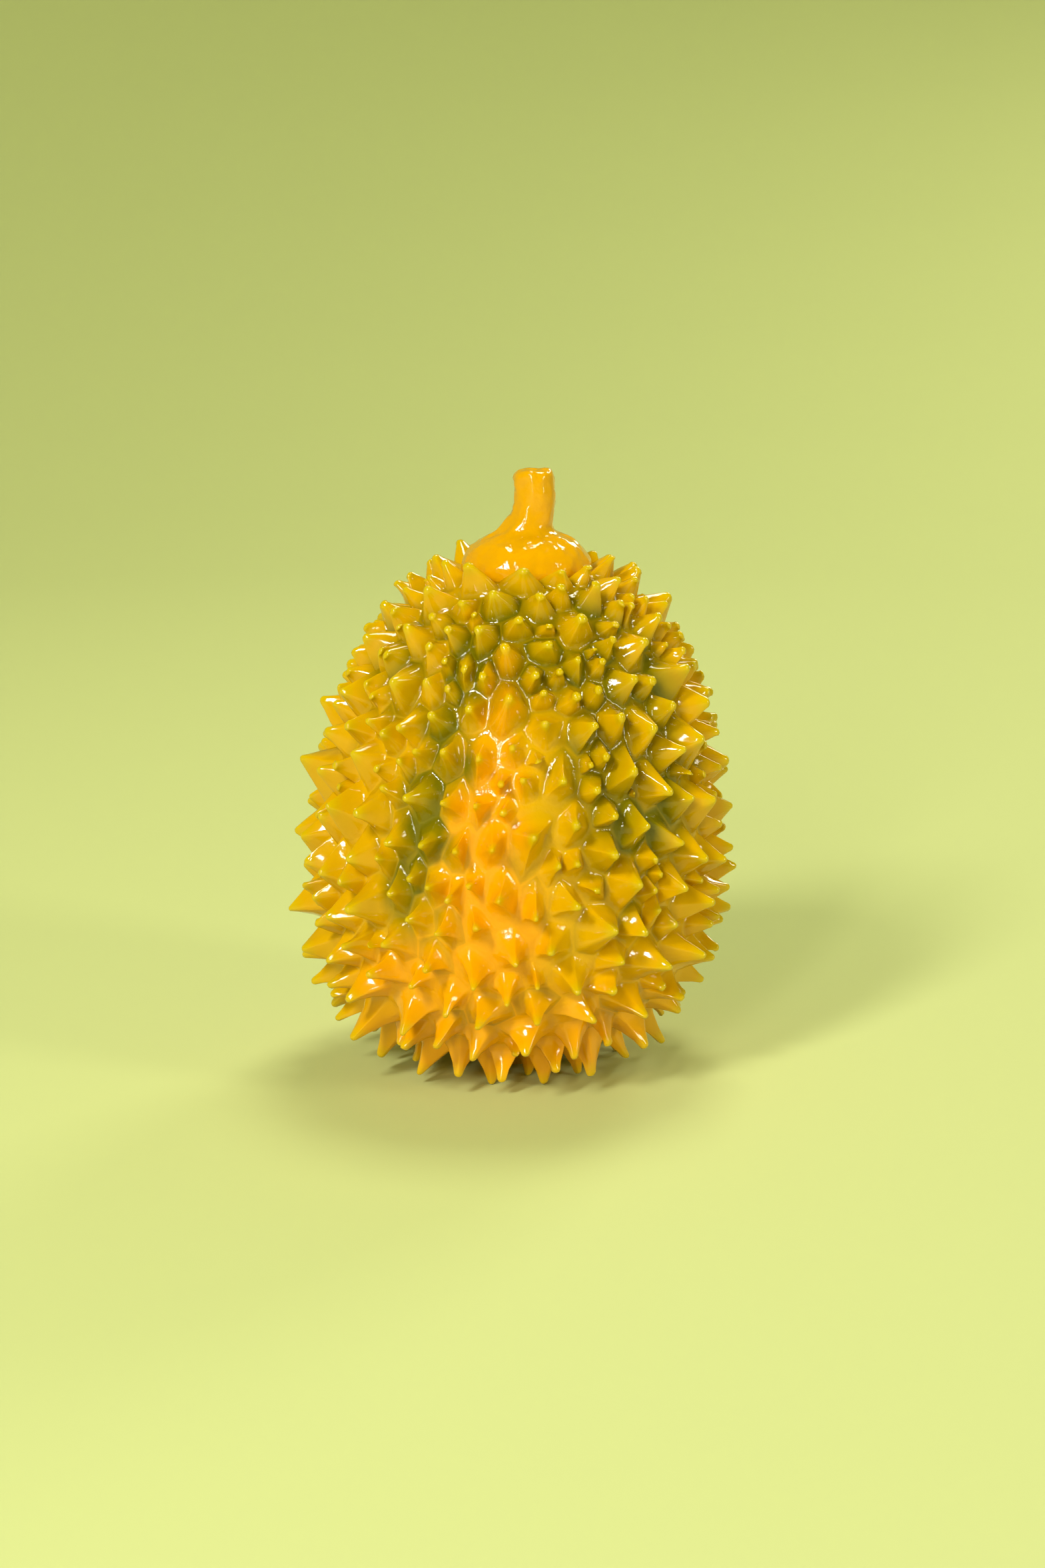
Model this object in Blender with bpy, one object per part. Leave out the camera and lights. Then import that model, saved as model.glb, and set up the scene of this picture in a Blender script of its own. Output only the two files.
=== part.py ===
"""A durian moulded in soft rubber: the spiny husk, which stands upright, and the stalk with its smooth collar.

Metres, +Z up. The origin is on the surface that the husk stands on, below the middle of its width and depth.
"""

import math

import bmesh
import bpy
import numpy as np
from mathutils import Vector

# Skin: the egg that the valleys between the spines lie on
SKIN_RADIUS = 0.0374
WIDEST_LEVEL = 0.0418
SKIN_RISE = 0.0608
UNDERSIDE_LEVEL = 0.0048
CROWN_SQUARENESS = 2.12
UNDERSIDE_SQUARENESS = 2.7
LEAN = 0.038

# Spines: each grows from one cell of the skin
CROWN_PITCH = 0.0050
BASE_PITCH = 0.0081
PITCH_GROWTH = 0.6
CROWN_SPINE_HEIGHT = 0.0046
BASE_SPINE_HEIGHT = 0.0076
HEIGHT_VARIETY = 0.14
SPINE_LEAN = 0.22
PLACE_SHAKE = 0.55
EASING = 0.55
SHOULDER = 0.5
CROWN_HOLLOWNESS = 1.0
BASE_HOLLOWNESS = 1.6
LAYOUT_SEED = 7

# Foot: the flat scar in the middle of the underside
FOOT_RADIUS = 0.0075
FOOT_END_RADIUS = 0.0062

# Collar: the smooth dome round the stalk, sunk between the first spines onto a flat seat
COLLAR_RADIUS = 0.0118
COLLAR_EDGE = 0.0026
COLLAR_RISE = 0.0054
COLLAR_GAP = 0.0003
SEAT_DEPTH = 0.0012

# Stalk: it leans one way at its foot and the other way half way up
STALK_HEIGHT = 0.0120
STALK_FOOT_RADIUS = 0.0054
STALK_RADIUS = 0.0037
STALK_FOOT_SHIFT = -0.0011
STALK_BEND = 0.0010
END_ROUNDING = 0.0013

COLOURS = {"husk": (0.80, 0.40, 0.01), "stalk": (0.90, 0.33, 0.0)}
GLOSS_ROUGHNESS = 0.18
ROUND_STEPS = 36
GOLDEN_ANGLE = math.pi * (3 - math.sqrt(5))
rng = np.random.default_rng(LAYOUT_SEED)


def clear_scene():
    for obj in list(bpy.data.objects):
        bpy.data.objects.remove(obj)


def half_of_skin(upper):
    """Semi-height and squareness of the skin above or below its widest level."""
    if upper:
        return SKIN_RISE, CROWN_SQUARENESS
    return WIDEST_LEVEL - UNDERSIDE_LEVEL, UNDERSIDE_SQUARENESS


def skin_level(radius, upper):
    """Height of the skin where it has the given radius."""
    rise, power = half_of_skin(upper)
    height = rise * (1 - (radius / SKIN_RADIUS) ** power) ** (1 / power)
    return WIDEST_LEVEL + height if upper else WIDEST_LEVEL - height


def on_skin(place):
    """The place moved to the skin, along the line from the middle of the widest level."""
    rise, power = half_of_skin(place.z >= WIDEST_LEVEL)
    height = place.z - WIDEST_LEVEL
    reach = (math.hypot(place.x, place.y) / SKIN_RADIUS) ** power + (abs(height) / rise) ** power
    scale = reach ** (-1 / power)
    return Vector((place.x * scale, place.y * scale, WIDEST_LEVEL + height * scale))


def skin_normal(place):
    rise, power = half_of_skin(place.z >= WIDEST_LEVEL)
    radius = math.hypot(place.x, place.y)
    height = place.z - WIDEST_LEVEL
    outward = (radius / SKIN_RADIUS) ** (power - 1) / SKIN_RADIUS
    upward = math.copysign((abs(height) / rise) ** (power - 1) / rise, height)
    return Vector((outward * place.x / radius, outward * place.y / radius, upward)).normalized()


def skin_outline():
    """Radii and levels from the crown to the middle of the underside."""
    angles = np.linspace(0, math.pi, 721)
    sines = np.abs(np.sin(angles))
    cosines = np.cos(angles)
    upper = cosines >= 0
    powers = np.where(upper, CROWN_SQUARENESS, UNDERSIDE_SQUARENESS)
    rises = np.where(upper, SKIN_RISE, WIDEST_LEVEL - UNDERSIDE_LEVEL)
    radii = SKIN_RADIUS * sines ** (2 / powers)
    levels = WIDEST_LEVEL + rises * np.sign(cosines) * np.abs(cosines) ** (2 / powers)
    return radii, levels


def lowness(level):
    """0 at the crown, 1 at the surface that the husk stands on."""
    return 1 - level / (WIDEST_LEVEL + SKIN_RISE)


def pitch(level):
    """The spacing of the spines, which are smaller round the crown."""
    return CROWN_PITCH + (BASE_PITCH - CROWN_PITCH) * lowness(level) ** PITCH_GROWTH


def spine_places():
    """A spiral of places, one for each cell's worth of skin, shaken out of its regular rows."""
    radii, levels = skin_outline()
    strips = math.pi * (radii[1:] + radii[:-1]) * np.hypot(np.diff(radii), np.diff(levels))
    cells = strips / (pitch(levels[1:]) ** 2 * math.sqrt(3) / 2)
    cells_above = np.concatenate([[0], np.cumsum(cells)])
    places = []
    for index in range(round(cells_above[-1])):
        radius = np.interp(index + 0.5, cells_above, radii)
        level = np.interp(index + 0.5, cells_above, levels)
        turn = index * GOLDEN_ANGLE
        place = Vector((radius * math.cos(turn), radius * math.sin(turn), level))
        place = on_skin(place + Vector(rng.uniform(-1, 1, 3)) * pitch(level) * PLACE_SHAKE)
        bare_radius = COLLAR_RADIUS if place.z > WIDEST_LEVEL else FOOT_RADIUS
        if math.hypot(place.x, place.y) > bare_radius + pitch(level) / 2:
            places.append(place)
    return places


def hull_of(places):
    mesh = bmesh.new()
    verts = [mesh.verts.new(place) for place in places]
    bmesh.ops.convex_hull(mesh, input=verts)
    bmesh.ops.recalc_face_normals(mesh, faces=mesh.faces)
    return mesh


def faces_round(vert):
    """The faces that meet at a vertex, in order."""
    ring = []
    loop = vert.link_loops[0]
    while loop.face not in ring:
        ring.append(loop.face)
        loop = loop.link_loop_prev.link_loop_radial_next
    return ring


def eased(places, fixed_count):
    """The places moved part of the way to the middle of their cells, but for the first few."""
    hull = hull_of(places)
    moved = list(places)
    for vert in hull.verts:
        if vert.index < fixed_count:
            continue
        ring = faces_round(vert)
        middle = sum((face.calc_center_median() for face in ring), Vector()) / len(ring)
        moved[vert.index] = on_skin(vert.co.lerp(middle, EASING))
    hull.free()
    return moved


def cell_mesh():
    """The skin as flat-edged cells, and the two of them that belong to the crown and the foot."""
    poles = [Vector((0, 0, WIDEST_LEVEL + SKIN_RISE)), Vector((0, 0, UNDERSIDE_LEVEL))]
    hull = hull_of(eased(poles + spine_places(), len(poles)))
    mesh = bmesh.new()
    corners = {face: mesh.verts.new(on_skin(face.calc_center_median())) for face in hull.faces}
    for vert in hull.verts:
        mesh.faces.new([corners[face] for face in faces_round(vert)])
    hull.free()
    crown = max(mesh.faces, key=lambda cell: cell.calc_center_median().z)
    foot = min(mesh.faces, key=lambda cell: cell.calc_center_median().z)
    flatten(crown, COLLAR_RADIUS + COLLAR_GAP, seat_level())
    flatten(foot, FOOT_RADIUS, skin_level(FOOT_RADIUS, False))
    return mesh, crown, foot


def seat_level():
    return skin_level(COLLAR_RADIUS + COLLAR_GAP, True) - SEAT_DEPTH


def flatten(cell, clear_radius, level):
    """Sets a cell's corners on one level, evenly spaced and clear of a disc of the given radius."""
    count = len(cell.verts)
    radius = clear_radius / math.cos(math.pi / count)
    first, second = (math.atan2(vert.co.y, vert.co.x) for vert in cell.verts[:2])
    way = math.copysign(1, math.sin(second - first))
    own_turns = [math.atan2(vert.co.y, vert.co.x) - way * math.tau * step / count
                 for step, vert in enumerate(cell.verts)]
    start = math.atan2(sum(map(math.sin, own_turns)), sum(map(math.cos, own_turns)))
    for step, vert in enumerate(cell.verts):
        turn = start + way * math.tau * step / count
        vert.co = Vector((radius * math.cos(turn), radius * math.sin(turn), level))


def raise_foot(mesh, foot):
    """The foot reaches the surface as a low boss with a flat end."""
    end = bmesh.ops.extrude_discrete_faces(mesh, faces=[foot])["faces"][0]
    scale = FOOT_END_RADIUS / FOOT_RADIUS
    for vert in end.verts:
        vert.co = Vector((vert.co.x * scale, vert.co.y * scale, 0))


def raise_spine(mesh, cell):
    """The cell becomes a spine: a shoulder part of the way up, and a point over it."""
    middle = cell.calc_center_median()
    share = lowness(middle.z)
    height = CROWN_SPINE_HEIGHT + (BASE_SPINE_HEIGHT - CROWN_SPINE_HEIGHT) * share
    height *= (cell.calc_area() / pitch(middle.z) ** 2) ** 0.4
    height *= 1 + rng.uniform(-HEIGHT_VARIETY, HEIGHT_VARIETY)
    axis = skin_normal(on_skin(middle))
    beside_collar = share < 0.5 and math.hypot(middle.x, middle.y) < COLLAR_RADIUS + CROWN_PITCH
    if not beside_collar:
        axis = (axis + Vector(rng.uniform(-1, 1, 3)) * SPINE_LEAN).normalized()
    if middle.z + axis.z * height < 0:
        height = -middle.z / axis.z
    hollowness = CROWN_HOLLOWNESS + (BASE_HOLLOWNESS - CROWN_HOLLOWNESS) * share
    shoulder_height = height * (1 - SHOULDER) ** hollowness
    top = bmesh.ops.extrude_discrete_faces(mesh, faces=[cell])["faces"][0]
    for vert in top.verts:
        vert.co = vert.co.lerp(middle, SHOULDER) + axis * shoulder_height
    bmesh.ops.poke(mesh, faces=[top])["verts"][0].co = middle + axis * height


def build_husk():
    mesh, crown, foot = cell_mesh()
    for cell in [face for face in mesh.faces if face not in (crown, foot)]:
        raise_spine(mesh, cell)
    raise_foot(mesh, foot)
    return add_object("husk", mesh)


def stalk_rings():
    """(level, radius, sideways shift) of each ring, from the collar's underside to the end of the stalk."""
    base = seat_level() + COLLAR_GAP
    edge = base + COLLAR_EDGE
    rings = [(base, COLLAR_RADIUS, 0)]
    for turn in np.linspace(0, 1.25, 6):
        radius = STALK_FOOT_RADIUS + (COLLAR_RADIUS - STALK_FOOT_RADIUS) * math.cos(turn)
        rings.append((edge + COLLAR_RISE * math.sin(turn), radius, 0))
    foot = edge + COLLAR_RISE
    straight = STALK_HEIGHT - END_ROUNDING
    for share in (0.06, 0.16, 0.28, 0.45, 0.65, 0.82, 1.0):
        radius = STALK_RADIUS + (STALK_FOOT_RADIUS - STALK_RADIUS) * (1 - share) ** 4
        shift = STALK_FOOT_SHIFT * (1 - share) ** 2 + STALK_BEND * math.sin(math.pi * share)
        rings.append((foot + straight * share, radius, shift))
    for turn in (0.4, 0.8, 1.2, 1.5):
        radius = STALK_RADIUS - END_ROUNDING * (1 - math.cos(turn))
        rings.append((foot + straight + END_ROUNDING * math.sin(turn), radius, 0))
    return rings


def build_stalk():
    """The collar and the stalk in one piece: rings joined up, with a flat cap at each end."""
    rings = stalk_rings()
    mesh = bmesh.new()
    loops = []
    for level, radius, shift in rings:
        made = bmesh.ops.create_circle(mesh, segments=ROUND_STEPS, radius=radius)
        bmesh.ops.translate(mesh, verts=made["verts"], vec=(shift, 0, level))
        loops.append(made["verts"])
    for lower, upper in zip(loops, loops[1:]):
        for step in range(ROUND_STEPS):
            following = (step + 1) % ROUND_STEPS
            mesh.faces.new((lower[step], lower[following], upper[following], upper[step]))
    mesh.faces.new(loops[0])
    mesh.faces.new(loops[-1])
    return add_object("stalk", mesh)


def add_object(name, mesh):
    bmesh.ops.recalc_face_normals(mesh, faces=mesh.faces)
    for vert in mesh.verts:
        vert.co.x += LEAN * vert.co.z
    data = bpy.data.meshes.new(name)
    mesh.to_mesh(data)
    mesh.free()
    data.shade_smooth()
    data.set_sharp_from_angle(angle=math.radians(30))
    material = bpy.data.materials.new(name)
    material.use_nodes = True
    shader = material.node_tree.nodes["Principled BSDF"]
    shader.inputs["Base Color"].default_value = (*COLOURS[name], 1)
    shader.inputs["Roughness"].default_value = GLOSS_ROUGHNESS
    shader.inputs["Metallic"].default_value = 0
    data.materials.append(material)
    obj = bpy.data.objects.new(name, data)
    bpy.context.scene.collection.objects.link(obj)
    return obj


def centre_over_origin(objects):
    """Moves the meshes sideways so that the middle of their width and depth is over the origin."""
    places = [vert.co for obj in objects for vert in obj.data.vertices]
    across = Vector((min(place.x for place in places) + max(place.x for place in places), 0, 0))
    across.y = min(place.y for place in places) + max(place.y for place in places)
    for place in places:
        place -= across / 2


def main():
    clear_scene()
    centre_over_origin([build_husk(), build_stalk()])


main()
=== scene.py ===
"""The looks of a durian moulded in soft rubber.

It has a spiny husk, sprayed mustard and olive over orange, and an orange stalk that grows out of a collar.
Metres, +Z up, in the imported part's own frame.
"""

import itertools
import math

import bmesh
import bpy
import numpy as np
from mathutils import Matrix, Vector, noise


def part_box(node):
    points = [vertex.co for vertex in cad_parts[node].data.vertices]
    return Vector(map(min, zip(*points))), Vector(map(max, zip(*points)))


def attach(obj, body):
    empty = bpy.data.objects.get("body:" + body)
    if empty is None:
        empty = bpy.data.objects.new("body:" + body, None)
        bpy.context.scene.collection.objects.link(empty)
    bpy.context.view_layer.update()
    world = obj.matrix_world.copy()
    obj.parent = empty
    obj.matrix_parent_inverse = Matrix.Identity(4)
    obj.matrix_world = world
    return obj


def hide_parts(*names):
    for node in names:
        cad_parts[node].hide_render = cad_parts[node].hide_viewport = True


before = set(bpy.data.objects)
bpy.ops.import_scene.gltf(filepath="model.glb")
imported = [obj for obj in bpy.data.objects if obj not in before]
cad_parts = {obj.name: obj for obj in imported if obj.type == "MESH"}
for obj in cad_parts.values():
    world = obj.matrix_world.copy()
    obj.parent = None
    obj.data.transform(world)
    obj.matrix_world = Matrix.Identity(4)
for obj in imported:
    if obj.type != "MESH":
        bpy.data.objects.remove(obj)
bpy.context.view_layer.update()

MM = 0.001
MERGE_DISTANCE = 0.01 * MM
BODY_MIDDLE = (0, 0, 0.06)
SOFT_WHITE = (1, 0.97, 0.86)
WARM_WHITE = (1, 0.97, 0.8)

rng = np.random.default_rng(11)
noise.seed_set(11)


# ---------------------------------------------------------------- shared helpers


def merged_copy(node):
    """A copy of a CAD node's mesh with its loose triangles joined up."""
    mesh = bmesh.new()
    mesh.from_mesh(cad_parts[node].data)
    bmesh.ops.remove_doubles(mesh, verts=mesh.verts, dist=MERGE_DISTANCE)
    mesh.normal_update()
    return mesh


def add_object(name, mesh, material):
    """Makes a smooth-shaded object of a bmesh, which is freed."""
    data = bpy.data.meshes.new(name)
    mesh.to_mesh(data)
    mesh.free()
    data.shade_smooth()
    data.materials.append(material)
    new_object = bpy.data.objects.new(name, data)
    bpy.context.scene.collection.objects.link(new_object)
    return new_object


def add_piece(name, mesh, material, node):
    """Adds a piece that stands in for a CAD node."""
    piece = add_object(name, mesh, material)
    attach(piece, "root")
    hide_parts(node)


def neighbours(vert):
    return {edge.other_vert(vert) for edge in vert.link_edges}


def ramp(value, start, end):
    """0 before start, 1 after end, smooth between them."""
    share = min(max((value - start) / (end - start), 0), 1)
    return share * share * (3 - 2 * share)


def roughen(mesh, depth, grain):
    """Soft waves of a depth and a size, so that no surface looks ruled. Nothing is moved below the floor."""
    for vert in mesh.verts:
        wave = noise.noise_vector(vert.co / grain)
        if vert.co.z + wave.z * depth > 0:
            vert.co += wave * depth


# ---------------------------------------------------------------- husk


def drop(vert):
    """How far the highest neighbour lies below a vertex. The corners of the flat foot and crown get 0."""
    if any(abs(face.normal.z) > 0.99999 for face in vert.link_faces):
        return 0
    return min((vert.co - other.co).dot(vert.normal) for other in neighbours(vert))


def is_corner(vert):
    """True where valleys meet. A point part of the way along a valley joins only two edges."""
    return len(vert.link_edges) > 2


def area_inside(places):
    """The area inside a closed outline."""
    following = places[1:] + places[:1]
    return sum((first.cross(second) for first, second in zip(places, following)), Vector()).length / 2


class Spine:
    """One spine: a pyramid with soft ridges and a round tip, standing on one cell of the skin."""

    def __init__(self, tip):
        self.tip = tip
        self.tone = rng.uniform(0, 1)
        self.bluntness = rng.uniform(0.8, 1.25)
        self.ridge_count = rng.choice([3, 4, 5], p=[0.2, 0.6, 0.2])

    def settle(self, face):
        """Takes the outline of the cell, once its sides have their extra points, and chooses the ridges.

        Spines near the crown are blunt and plump. Those low on the husk and in the middle of the front are
        hollowed towards a small tip.
        """
        self.outline = [vert.co.copy() for vert in face.verts]
        self.middle = face.calc_center_median()
        self.rise = self.tip - self.middle
        self.height = self.rise.length
        self.radius = sum((co - self.middle).length for co in self.outline) / len(self.outline)
        front = front_share(self.middle)
        high = ramp(self.middle.z, 45 * MM, 80 * MM)
        low = 1 - ramp(self.middle.z, 4 * MM, 40 * MM)
        tip_radius = self.bluntness * (0.84 + 0.3 * high - 0.29 * front) * MM
        self.tip_radius = min(tip_radius, self.radius * 0.42)
        self.hollowness = 0.95 - 0.12 * high + front + 0.8 * low
        self.floor_share = floor_share_at(self.middle)
        self.ridge_softness = 0.35 + 0.4 * high
        self.half_angle = math.atan2(self.radius, self.height * self.hollowness)
        corners = [index for index, vert in enumerate(face.verts) if is_corner(vert)]
        choices = itertools.combinations(corners, min(self.ridge_count, len(corners)))
        self.ridges = max(choices, key=lambda choice: area_inside([self.outline[index] for index in choice]))
        self.flattened = self.outline_with_flat_sides()

    def outline_with_flat_sides(self):
        """The outline with the points between two ridges moved onto the straight line between them."""
        count = len(self.outline)
        flattened = list(self.outline)
        for first, last in zip(self.ridges, [*self.ridges[1:], self.ridges[0] + count]):
            steps = [(self.outline[(index + 1) % count] - self.outline[index % count]).length
                     for index in range(first, last)]
            for index in range(first + 1, last):
                share = sum(steps[:index - first]) / sum(steps)
                flattened[index % count] = self.outline[first].lerp(self.outline[last % count], share)
        return flattened

    def ring(self, inset, rise, flatness, roundness):
        """A ring drawn in towards the axis by a share and lifted by a share."""
        count = len(self.outline)
        shape = [own.lerp(flat, flatness) for own, flat in zip(self.outline, self.flattened)]
        softened = list(shape)
        for index in self.ridges:
            beside = (shape[index - 1] + shape[(index + 1) % count]) / 2
            softened[index] = shape[index].lerp(beside, self.ridge_softness * min(1, inset / 0.06))
        places = []
        for place in softened:
            out = place - self.middle
            reach = out.length + (self.radius - out.length) * roundness
            places.append(self.middle + out.normalized() * reach * (1 - inset) + self.rise * rise)
        return places

    def flank(self, inset):
        """A ring on the flank, whose foot curves into the valley.

        The flanks aim past the tip by an overshoot, so that they meet the round tip without a step.
        """
        overshoot = self.tip_radius * (1 / math.sin(self.half_angle) - 1) / self.height
        rise = (1 + overshoot) * inset**self.hollowness * ramp(inset, -0.02, 0.1)
        drawn_in = self.floor_share + (1 - self.floor_share) * inset
        return self.ring(drawn_in, rise, ramp(inset, -0.05, 0.2), 0.75 * inset**2.2)

    def cap(self, share):
        """A ring on the round tip: 1 where it meets the flanks, 0 at the very end."""
        angle = (math.pi / 2 - self.half_angle) * share
        inset = 1 - self.tip_radius * math.sin(angle) / self.radius
        rise = 1 - self.tip_radius * (1 - math.cos(angle)) / self.height
        return self.ring(inset, rise, 1, 0.9)


def front_share(place):
    """1 in the middle of the front, where the spines are low with a small nub at the tip."""
    x, y, z = place / MM
    across = ramp(x, -30, -16) * (1 - ramp(x, 4, 16))
    up = ramp(z, 12, 26) * (1 - ramp(z, 70, 84))
    return ramp(-y, 18, 34) * across * up


def floor_share_at(place):
    """The share of a cell taken up by the valley's flat floor, widest round the crown and on the right."""
    x, y, z = place / MM
    return 0.01 + 0.06 * ramp(x + z / 4, 8, 35) * ramp(z, 20, 50)


def find_spines(mesh, number):
    """The spines of the CAD husk. Each one's faces are joined into one cell that holds its number, from 1."""
    lowest_spine = 0.4 * MM
    spines = {}
    for tip in [vert for vert in mesh.verts if drop(vert) > lowest_spine]:
        spine_number = len(spines) + 1
        spines[spine_number] = Spine(tip.co.copy())
        for vert in [tip, *neighbours(tip)]:
            for face in vert.link_faces:
                face[number] = spine_number
    for spine_number in spines:
        faces = [face for face in mesh.faces if face[number] == spine_number]
        bmesh.ops.dissolve_faces(mesh, faces=faces)
    return spines


def add_points_to_sides(mesh, cells):
    """Two points on each long side of a cell, moved towards its corners, and one on each short side."""
    longest_short_side = 1.8 * MM
    move_to_corner = 0.35
    sides = {edge for cell in cells for edge in cell.edges}
    long_sides = [edge for edge in sides if edge.calc_length() > longest_short_side]
    short_sides = [edge for edge in sides if edge.calc_length() <= longest_short_side]
    bmesh.ops.bisect_edges(mesh, edges=short_sides, cuts=1)
    bmesh.ops.bisect_edges(mesh, edges=long_sides, cuts=2)
    for vert in mesh.verts:
        corners = [other for other in neighbours(vert) if is_corner(other)]
        if len(corners) == 1 and not is_corner(vert):
            vert.co = vert.co.lerp(corners[0].co, move_to_corner)


def add_husk(material):
    """The CAD husk with each straight-sided spine drawn afresh, ring by ring, from the valley to the tip.

    Two attributes steer the paint and the painted shade in the valleys: the spine's own tone, and the rise
    from 0 in the valley to 1 at the tip.
    """
    mesh = merged_copy("husk")
    number = mesh.faces.layers.int.new("spine")
    rise = mesh.verts.layers.float.new("rise")
    tone = mesh.verts.layers.float.new("tone")
    spines = find_spines(mesh, number)
    add_points_to_sides(mesh, [face for face in mesh.faces if face[number]])
    for vert in mesh.verts:
        vert[tone] = 0.5
    tops = [face for face in mesh.faces if face[number]]
    for top in tops:
        spines[top[number]].settle(top)
    steps = [(Spine.flank, 0.03), (Spine.flank, 0.1), (Spine.flank, 0.4), (Spine.flank, 0.68),
             (Spine.cap, 1), (Spine.cap, 0.5)]
    for draw, share in steps:
        tops = bmesh.ops.extrude_discrete_faces(mesh, faces=tops)["faces"]
        for top in tops:
            spine = spines[top[number]]
            for vert, place in zip(top.verts, draw(spine, share)):
                vert.co = place
                vert[rise] = min((place - spine.middle).dot(spine.rise) / spine.height**2, 1)
                vert[tone] = spine.tone
    for vert in bmesh.ops.poke(mesh, faces=tops)["verts"]:
        spine = spines[vert.link_faces[0][number]]
        vert.co = spine.tip
        vert[rise] = 1
        vert[tone] = spine.tone
    roughen(mesh, 0.16 * MM, 3.0 * MM)
    add_piece("spiny_husk", mesh, material, "husk")


# ---------------------------------------------------------------- stalk and collar


def add_stalk_and_collar(material):
    """The collar is a lumpy dome between the first spines, and the stalk grows out of it with a bend."""
    low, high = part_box("stalk")
    middle = (low + high) / 2
    # level above the collar's foot, radius and sideways shift, in mm
    profile = [(-1.0, 10.0, 0), (-1.0, 12.2, 0), (-0.2, 12.8, 0), (1.2, 12.8, 0), (2.4, 12.4, 0),
               (3.6, 11.7, 0), (4.7, 10.9, 0), (5.7, 9.8, 0), (6.4, 8.7, 0), (6.9, 7.5, 0), (7.3, 6.5, -0.1),
               (7.8, 5.8, -0.2), (8.4, 5.3, -0.2), (9.2, 4.9, 0.0), (10.4, 4.4, 0.6), (11.8, 4.1, 1.2),
               (13.4, 4.1, 1.5), (15.2, 4.0, 1.5), (17.0, 3.95, 1.4), (18.2, 3.95, 1.3), (19.1, 3.7, 1.3),
               (19.7, 3.1, 1.3), (19.95, 2.2, 1.3), (19.9, 1.0, 1.3), (19.6, 0.0, 1.3)]
    mesh = bmesh.new()
    verts = [mesh.verts.new((radius * MM, 0, level * MM)) for level, radius, _ in profile]
    floor = mesh.verts.new((0, 0, profile[0][0] * MM))
    line = [floor, *verts]
    edges = [mesh.edges.new(pair) for pair in zip(line, line[1:])]
    bmesh.ops.spin(mesh, geom=line + edges, cent=(0, 0, 0), axis=(0, 0, 1), angle=math.tau, steps=72,
                   use_merge=True)
    bmesh.ops.remove_doubles(mesh, verts=mesh.verts, dist=MERGE_DISTANCE)
    bmesh.ops.subdivide_edges(mesh, edges=mesh.edges, cuts=1, use_grid_fill=True)
    bmesh.ops.smooth_vert(mesh, verts=mesh.verts, factor=0.5, use_axis_x=True, use_axis_y=True,
                          use_axis_z=True)
    levels, _, shifts = zip(*sorted(profile))
    for vert in mesh.verts:
        vert.co.x += np.interp(vert.co.z / MM, levels, shifts) * MM
        vert.co += Vector((middle.x, middle.y, low.z))
    bmesh.ops.recalc_face_normals(mesh, faces=mesh.faces)
    roughen(mesh, 0.4 * MM, 3.6 * MM)
    roughen(mesh, 0.22 * MM, 1.6 * MM)
    add_piece("stalk_and_collar", mesh, material, "stalk")


# ---------------------------------------------------------------- materials


def linear(hex_colour):
    """An sRGB hex colour as linear RGBA."""
    values = [int(hex_colour[at:at + 2], 16) / 255 for at in (1, 3, 5)]
    return (*(v / 12.92 if v <= 0.04045 else ((v + 0.055) / 1.055) ** 2.4 for v in values), 1)


def new_material(name):
    material = bpy.data.materials.new(name)
    material.use_nodes = True
    return material, material.node_tree.nodes["Principled BSDF"]


def add_node(shader, kind, inputs, **settings):
    """Adds a node beside the shader. Each input is given a value or another node's output."""
    tree = shader.id_data
    node = tree.nodes.new(kind)
    for name, value in settings.items():
        setattr(node, name, value)
    for name, value in inputs.items():
        if isinstance(value, bpy.types.NodeSocket):
            tree.links.new(value, node.inputs[name])
        else:
            node.inputs[name].default_value = value
    return node


def soft_rubber(shader):
    """Clear thermoplastic rubber: wet-looking gloss over a body that light sinks a millimetre or so into."""
    shader.inputs["IOR"].default_value = 1.5
    shader.inputs["Roughness"].default_value = 0.08
    shader.inputs["Subsurface Weight"].default_value = 0.3
    shader.inputs["Subsurface Radius"].default_value = (1.0, 0.75, 0.08)
    shader.inputs["Subsurface Scale"].default_value = 1.1 * MM


def add_ripples(shader, place, grain, strength):
    """Small waves left by the mould, which break up the highlights."""
    waves = add_node(shader, "ShaderNodeTexNoise", {"Vector": place, "Scale": 1 / grain, "Detail": 2.0})
    heights = {"Height": waves.outputs["Fac"], "Strength": strength, "Distance": 0.12 * grain}
    bump = add_node(shader, "ShaderNodeBump", heights)
    shader.id_data.links.new(bump.outputs[0], shader.inputs["Normal"])


def puff(shader, place, middle, size):
    """1 in the middle of a cloud of sprayed paint and 0 outside it. Its middle and its size are in mm."""
    away = add_node(shader, "ShaderNodeVectorMath", {0: place, 1: Vector(middle) * MM}, operation="SUBTRACT")
    scaled = add_node(shader, "ShaderNodeVectorMath", {0: away.outputs[0], 1: Vector(size) * MM},
                      operation="DIVIDE")
    distance = add_node(shader, "ShaderNodeVectorMath", {0: scaled.outputs[0]}, operation="LENGTH")
    fade = {"Value": distance.outputs["Value"], "From Min": 1.45, "From Max": 0.45}
    return add_node(shader, "ShaderNodeMapRange", fade, interpolation_type="SMOOTHSTEP").outputs[0]


def all_puffs(shader, place, puffs):
    """The strongest of several clouds of paint, each a strength, a middle and a size."""
    total = None
    for strength, middle, size in puffs:
        cloud = add_node(shader, "ShaderNodeMath", {0: puff(shader, place, middle, size), 1: strength},
                         operation="MULTIPLY").outputs[0]
        if total:
            cloud = add_node(shader, "ShaderNodeMath", {0: total, 1: cloud}, operation="MAXIMUM").outputs[0]
        total = cloud
    return total


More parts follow.
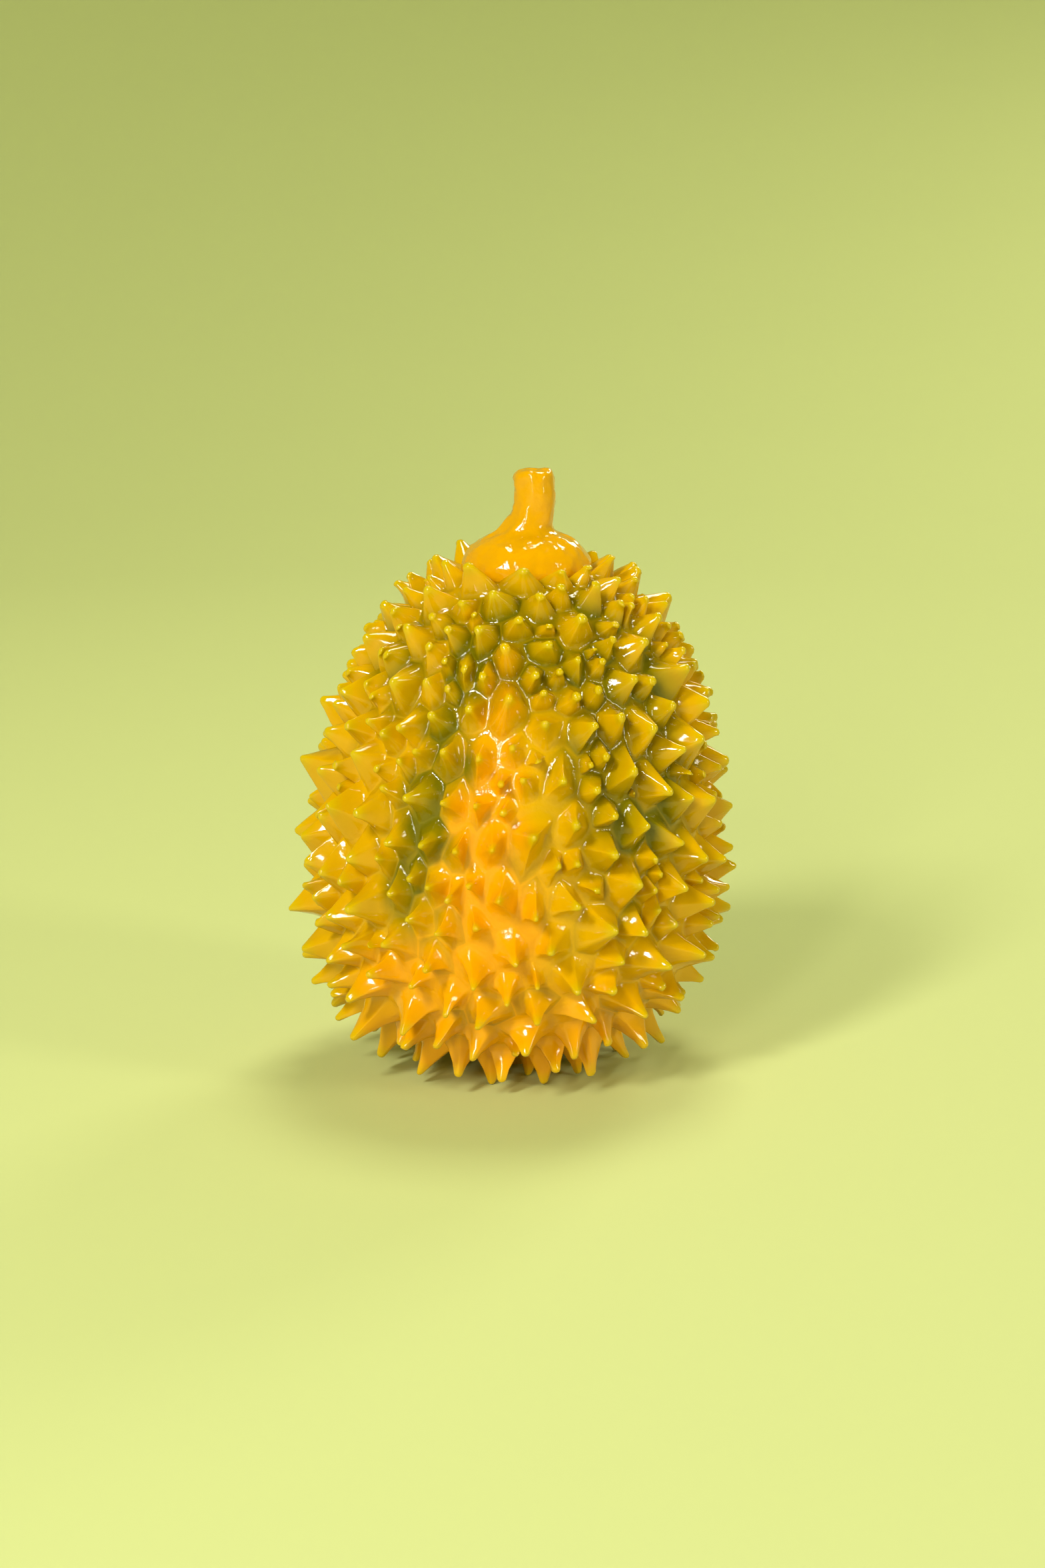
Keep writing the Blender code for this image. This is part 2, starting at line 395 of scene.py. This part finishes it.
# Where each paint lies, and where it is thin enough to leave the rubber bare. Each cloud has a strength, a
# middle and a size in mm, and the front of the husk is at -y.
OLIVE_PUFFS = [
    (0.78, (24, -26, 70), (15, 24, 32)),
    (0.7, (6, -24, 90), (26, 26, 16)),
    (0.9, (-9, -33, 86), (6, 16, 13)),
    (1.0, (-12.5, -38, 72), (5.5, 16, 13)),
    (0.95, (-17, -38, 58), (5.5, 16, 13)),
    (0.8, (-20, -36, 44), (5.5, 16, 11)),
    (0.6, (-20, -10, 84), (18, 22, 14)),
    (1.1, (6, 36, 60), (10, 16, 30)),
    (0.9, (-26, 22, 78), (14, 16, 22)),
]
BARE_PUFFS = [
    (1.0, (-5, -40, 57), (7.5, 18, 18)),
    (1.0, (-4, -40, 36), (11, 18, 18)),
    (0.9, (0, -26, 8), (34, 22, 18)),
    (0.9, (-19, -34, 24), (18, 18, 9)),
    (0.8, (-2, -34, 80), (4.5, 16, 13)),
    (0.8, (20, 36, 40), (9, 16, 26)),
    (0.8, (0, 20, 6), (30, 22, 12)),
]


def sprayed_rubber():
    """The husk: orange rubber under mustard spray, with olive that lies deepest in the valleys. The olive is
    partly olive spray and partly painted shade, darkest at the valley floors.
    """
    material, shader = new_material("sprayed_rubber")
    soft_rubber(shader)
    links = shader.id_data.links
    place = add_node(shader, "ShaderNodeTexCoord", {}).outputs["Object"]
    rise = add_node(shader, "ShaderNodeAttribute", {}, attribute_name="rise").outputs["Fac"]
    tone = add_node(shader, "ShaderNodeAttribute", {}, attribute_name="tone").outputs["Fac"]

    # the edges of the clouds drift by up to 4 mm
    drift = add_node(shader, "ShaderNodeTexNoise", {"Vector": place, "Scale": 1 / (9 * MM), "Detail": 2.0})
    spread = {0: drift.outputs["Color"], 1: (8 * MM,) * 3, 2: place}
    drifted = add_node(shader, "ShaderNodeVectorMath", spread, operation="MULTIPLY_ADD").outputs[0]
    cloudy = add_node(shader, "ShaderNodeVectorMath", {0: drifted, 1: (4 * MM,) * 3}, operation="SUBTRACT")
    bare = all_puffs(shader, cloudy.outputs[0], BARE_PUFFS)
    olive = all_puffs(shader, cloudy.outputs[0], OLIVE_PUFFS)

    # light sinks deeper where there is no paint
    sinking = add_node(shader, "ShaderNodeMapRange", {"Value": bare, "To Min": 0.08, "To Max": 0.2})
    links.new(sinking.outputs[0], shader.inputs["Subsurface Weight"])

    # mustard over the orange, then olive that lies deepest low on each spine, more on some spines than on
    # others. The olive low on the spines is partly spray and partly painted shade, and it is painted darker
    # at the valley floors and lighter up the flank.
    body_colours = {0: bare, 6: linear("#D2A000"), 7: linear("#E89E00")}
    body = add_node(shader, "ShaderNodeMix", body_colours, data_type="RGBA").outputs[2]
    uneven = add_node(shader, "ShaderNodeMath", {0: tone, 1: 0.5, 2: olive}, operation="MULTIPLY_ADD")
    depth = add_node(shader, "ShaderNodeMath", {0: rise, 1: -0.85, 2: uneven.outputs[0]},
                     operation="MULTIPLY_ADD").outputs[0]
    # more olive low on each spine: partly olive spray, partly painted shade in the valleys
    olive_paint_and_shade = add_node(shader, "ShaderNodeMapRange", {"Value": depth, "From Min": 0.25, "From Max": 1.15})
    # painted shade: the olive is darker at the valley floors and lighter up the flank
    valley_shade_fade = add_node(shader, "ShaderNodeMapRange", {"Value": rise, "From Min": 0.03, "From Max": 0.4})
    olive_colours = {0: valley_shade_fade.outputs[0], 6: linear("#6C6200"), 7: linear("#928000")}
    shaded_olive = add_node(shader, "ShaderNodeMix", olive_colours, data_type="RGBA").outputs[2]
    husk_colours = {0: olive_paint_and_shade.outputs[0], 6: body, 7: shaded_olive}
    painted = add_node(shader, "ShaderNodeMix", husk_colours, data_type="RGBA").outputs[2]

    # the ends of the spines are a greener yellow
    near_tip = {"Value": rise, "From Min": 0.62, "From Max": 1, "To Max": 0.55}
    ends = add_node(shader, "ShaderNodeMapRange", near_tip).outputs[0]
    tip_colours = {0: ends, 6: painted, 7: linear("#C4B600")}
    tipped = add_node(shader, "ShaderNodeMix", tip_colours, data_type="RGBA")
    links.new(tipped.outputs[2], shader.inputs["Base Color"])

    # the valleys are wrinkled, and the flanks are smooth
    wrinkled = add_node(shader, "ShaderNodeMapRange", {"Value": rise, "From Min": 0.3, "From Max": 0.02})
    add_ripples(shader, place, 1.1 * MM, wrinkled.outputs[0])
    return material


def plain_rubber():
    """The stalk and collar: the same rubber with no paint, so its own orange shows."""
    material, shader = new_material("orange_rubber")
    soft_rubber(shader)
    shader.inputs["Base Color"].default_value = linear("#DC9E00")
    place = add_node(shader, "ShaderNodeTexCoord", {}).outputs["Object"]
    add_ripples(shader, place, 1.8 * MM, 0.9)
    return material


def matt_paper():
    """The floor: pale green backdrop paper, with no shine."""
    material, shader = new_material("matt_paper")
    shader.inputs["Base Color"].default_value = linear("#C8D08C")
    shader.inputs["Roughness"].default_value = 0.85
    return material


# ---------------------------------------------------------------- stage


def add_stage():
    """A round floor that curves up into a wall on every side, so that every view has the same backdrop."""
    flat_radius, curve, height = 0.6, 0.8, 1.8
    turns = np.linspace(0, math.pi / 2, 13)[1:]
    bend = [(flat_radius + curve * math.sin(turn), curve - curve * math.cos(turn)) for turn in turns]
    profile = [(0, 0), (flat_radius, 0), *bend, (flat_radius + curve, height)]
    mesh = bmesh.new()
    verts = [mesh.verts.new((radius, 0, level)) for radius, level in profile]
    edges = [mesh.edges.new(pair) for pair in zip(verts, verts[1:])]
    bmesh.ops.spin(mesh, geom=verts + edges, cent=(0, 0, 0), axis=(0, 0, 1), angle=math.tau, steps=64,
                   use_merge=True)
    bmesh.ops.remove_doubles(mesh, verts=mesh.verts, dist=MERGE_DISTANCE)
    bmesh.ops.recalc_face_normals(mesh, faces=mesh.faces)
    bmesh.ops.reverse_faces(mesh, faces=mesh.faces)
    floor = add_object("floor", mesh, matt_paper())


def add_light(name, place, size, power, colour):
    """A soft box that faces the middle of the body."""
    data = bpy.data.lights.new(name, "AREA")
    data.shape = "RECTANGLE"
    data.size, data.size_y = size
    data.energy = power
    data.color = colour
    data.spread = math.radians(165)
    light = bpy.data.objects.new(name, data)
    light.location = place
    light.rotation_euler = (Vector(BODY_MIDDLE) - Vector(place)).to_track_quat("-Z", "Y").to_euler()
    bpy.context.scene.collection.objects.link(light)


def add_lights():
    """Small warm soft boxes, so that the highlights are narrow, with a little green light from all round."""
    world = bpy.data.worlds.new("studio")
    bpy.context.scene.world = world
    world.use_nodes = True
    background = world.node_tree.nodes["Background"]
    background.inputs["Color"].default_value = (0.85, 1, 0.2, 1)
    background.inputs["Strength"].default_value = 0.09
    add_light("key", (-0.5, -0.75, 0.75), (0.16, 0.28), 6.9, SOFT_WHITE)
    add_light("front", (-0.3, -1.1, 0.42), (0.1, 0.6), 4.9, SOFT_WHITE)
    add_light("fill", (0.9, -0.5, 0.45), (0.2, 0.4), 2.7, WARM_WHITE)
    add_light("back", (0.5, 0.9, 0.6), (0.3, 0.3), 2.7, WARM_WHITE)
    add_light("top", (0.1, 0.35, 1.0), (0.3, 0.3), 3.6, WARM_WHITE)


def add_camera():
    """A little above the durian, looking down at it through a long lens."""
    data = bpy.data.cameras.new("camera")
    data.lens = 80
    data.sensor_width = 36
    elevation = math.radians(13)
    distance = 0.6904
    aim = Vector((0.0019, 0, 0.0562))
    camera = bpy.data.objects.new("camera", data)
    camera.location = aim + Vector((0, -math.cos(elevation), math.sin(elevation))) * distance
    camera.rotation_euler = (math.pi / 2 - elevation, 0, 0)
    bpy.context.scene.collection.objects.link(camera)
    bpy.context.scene.camera = camera


add_husk(sprayed_rubber())
add_stalk_and_collar(plain_rubber())
add_stage()
add_lights()
add_camera()
bpy.context.scene.view_settings.view_transform = "Standard"
